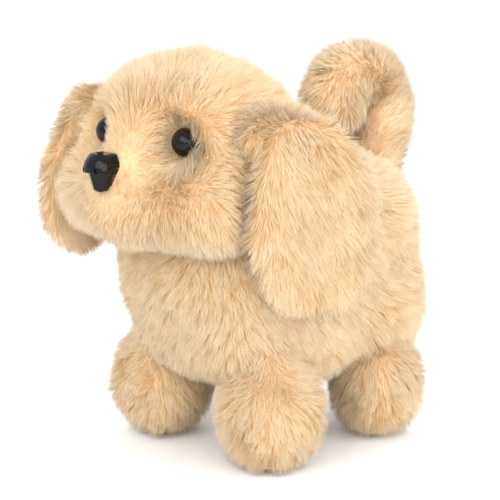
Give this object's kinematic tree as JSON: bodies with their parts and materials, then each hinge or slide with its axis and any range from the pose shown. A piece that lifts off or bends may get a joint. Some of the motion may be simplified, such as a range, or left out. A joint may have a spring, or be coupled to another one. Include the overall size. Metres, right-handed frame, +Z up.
{
  "type": "interactive plush pet",
  "caption": "Battery-driven plush puppy that walks on swinging legs, nods its head and wags its curled tail under soft golden fur.",
  "frame": {"origin": "on the floor under the middle of the toy's bounding box", "axes": "+Z up; the nose points to -Y and the tail to +Y; +X is the puppy's left side"},
  "size_m": [0.1522, 0.1925, 0.18],
  "materials": {
    "plush": "soft golden pile",
    "casing": "moulded matte",
    "skull": "moulded matte",
    "leg_frame": "moulded matte",
    "sole": "matte ribbed",
    "steel": "bright zinc",
    "brass": "machined",
    "gear": "natural acetal",
    "cam": "moulded matte",
    "yoke": "moulded matte",
    "black": "gloss",
    "washer": "moulded matte",
    "cell": "printed sleeve left plain",
    "board": "solder mask",
    "chip": "matte",
    "paper": "paper cone",
    "switch": "matte"
  },
  "bodies": {
    "chassis": {"left_casing": "casing", "right_casing": "casing", "casing_screws": "steel", "hip_screws": "steel", "crank_bushes": "brass", "battery_tray": "casing", "battery_cells": "cell", "battery_contacts": "steel", "switch_body": "chip", "motor_can": "steel", "motor_end_cap": "washer", "speaker_frame": "steel", "speaker_cone": "paper", "speaker_magnet": "steel", "circuit_board": "board", "board_parts": "chip", "gear_axles": "steel", "neck_pin": "steel", "body_plush": "plush"},
    "battery_lid": {"battery_door": "casing", "door_screw": "steel"},
    "switch": {"switch_slider": "switch"},
    "crank": {"crankshaft": "steel", "main_gear": "gear", "left_crank": "cam", "right_crank": "cam", "nod_eccentric": "cam", "wag_disc": "cam"},
    "second_gear": {"second_gear": "gear"},
    "first_gear": {"first_gear": "gear"},
    "motor_rotor": {"motor_pinion": "brass", "motor_shaft": "steel"},
    "front_left_leg": {"front_left_leg_frame": "leg_frame", "front_left_paw": "plush", "front_left_sole": "sole"},
    "front_right_leg": {"front_right_leg_frame": "leg_frame", "front_right_paw": "plush", "front_right_sole": "sole"},
    "hind_left_leg": {"hind_left_leg_frame": "leg_frame", "hind_left_paw": "plush", "hind_left_sole": "sole"},
    "hind_right_leg": {"hind_right_leg_frame": "leg_frame", "hind_right_paw": "plush", "hind_right_sole": "sole"},
    "head": {"skull_front": "skull", "skull_back": "skull", "nod_lever": "skull", "head_plush": "plush", "left_eye": "black", "right_eye": "black", "nose": "black", "stud_washers": "washer"},
    "left_ear": {"left_ear": "plush"},
    "right_ear": {"right_ear": "plush"},
    "yoke": {"nod_yoke": "yoke"},
    "tail": {"wag_shaft": "steel", "wag_fork": "yoke", "tail_hub": "leg_frame", "tail_rod": "steel", "tail_plush": "plush"}
  },
  "joints": [
    {"name": "crank_spin", "type": "hinge", "parent": "chassis", "child": "crank", "pos_m": [0, 0.0095, 0.07], "axis": [1, 0, 0], "continuous": true},
    {"name": "second_gear_spin", "type": "hinge", "parent": "chassis", "child": "second_gear", "pos_m": [0, 0.0233, 0.07], "axis": [1, 0, 0], "continuous": true},
    {"name": "first_gear_spin", "type": "hinge", "parent": "chassis", "child": "first_gear", "pos_m": [0, 0.0353, 0.07], "axis": [1, 0, 0], "continuous": true},
    {"name": "motor_spin", "type": "hinge", "parent": "chassis", "child": "motor_rotor", "pos_m": [0, 0.0473, 0.07], "axis": [1, 0, 0], "continuous": true},
    {"name": "front_left_leg_swing", "type": "hinge", "parent": "chassis", "child": "front_left_leg", "pos_m": [0, -0.025, 0.07], "axis": [1, 0, 0], "range_deg": [-8, 8]},
    {"name": "front_right_leg_swing", "type": "hinge", "parent": "chassis", "child": "front_right_leg", "pos_m": [0, -0.025, 0.07], "axis": [1, 0, 0], "range_deg": [-8, 8]},
    {"name": "hind_left_leg_swing", "type": "hinge", "parent": "chassis", "child": "hind_left_leg", "pos_m": [0, 0.044, 0.07], "axis": [1, 0, 0], "range_deg": [-8, 8]},
    {"name": "hind_right_leg_swing", "type": "hinge", "parent": "chassis", "child": "hind_right_leg", "pos_m": [0, 0.044, 0.07], "axis": [1, 0, 0], "range_deg": [-8, 8]},
    {"name": "head_nod", "type": "hinge", "parent": "chassis", "child": "head", "pos_m": [0, -0.026, 0.116], "axis": [1, 0, 0], "range_deg": [-4.5, 4.5]},
    {"name": "nod_yoke_slide", "type": "slide", "parent": "chassis", "child": "yoke", "axis": [0, 0, 1], "range_m": [-0.0028, 0.0028]},
    {"name": "tail_wag", "type": "hinge", "parent": "chassis", "child": "tail", "pos_m": [0, 0, 0.0835], "axis": [0, 1, 0], "range_deg": [-16, 16]},
    {"name": "left_ear_flop", "type": "hinge", "parent": "head", "child": "left_ear", "pos_m": [0.052, -0.0385, 0.15], "axis": [0, -1, 0], "range_deg": [0, 60]},
    {"name": "right_ear_flop", "type": "hinge", "parent": "head", "child": "right_ear", "pos_m": [-0.052, -0.0385, 0.15], "axis": [0, 1, 0], "range_deg": [0, 60]},
    {"name": "battery_door_hinge", "type": "hinge", "parent": "chassis", "child": "battery_lid", "pos_m": [-0.0148, 0, 0.04], "axis": [0, 1, 0], "range_deg": [0, 70]},
    {"name": "switch_slide", "type": "slide", "parent": "chassis", "child": "switch", "axis": [1, 0, 0], "range_m": [0, 0.004]}
  ],
  "couplings": [
    {"joint": "second_gear_spin", "follows": "crank_spin", "ratio": -3.6},
    {"joint": "first_gear_spin", "follows": "crank_spin", "ratio": 10.8},
    {"joint": "motor_spin", "follows": "crank_spin", "ratio": -32.4},
    {"joint": "front_right_leg_swing", "follows": "front_left_leg_swing", "ratio": -1},
    {"joint": "hind_left_leg_swing", "follows": "front_left_leg_swing", "ratio": -1},
    {"joint": "hind_right_leg_swing", "follows": "front_left_leg_swing", "ratio": 1},
    {"joint": "head_nod", "follows": "front_left_leg_swing", "ratio": 0.5625},
    {"joint": "nod_yoke_slide", "follows": "front_left_leg_swing", "m_per_rad": 0.01997},
    {"joint": "tail_wag", "follows": "front_left_leg_swing", "ratio": 2}
  ]
}
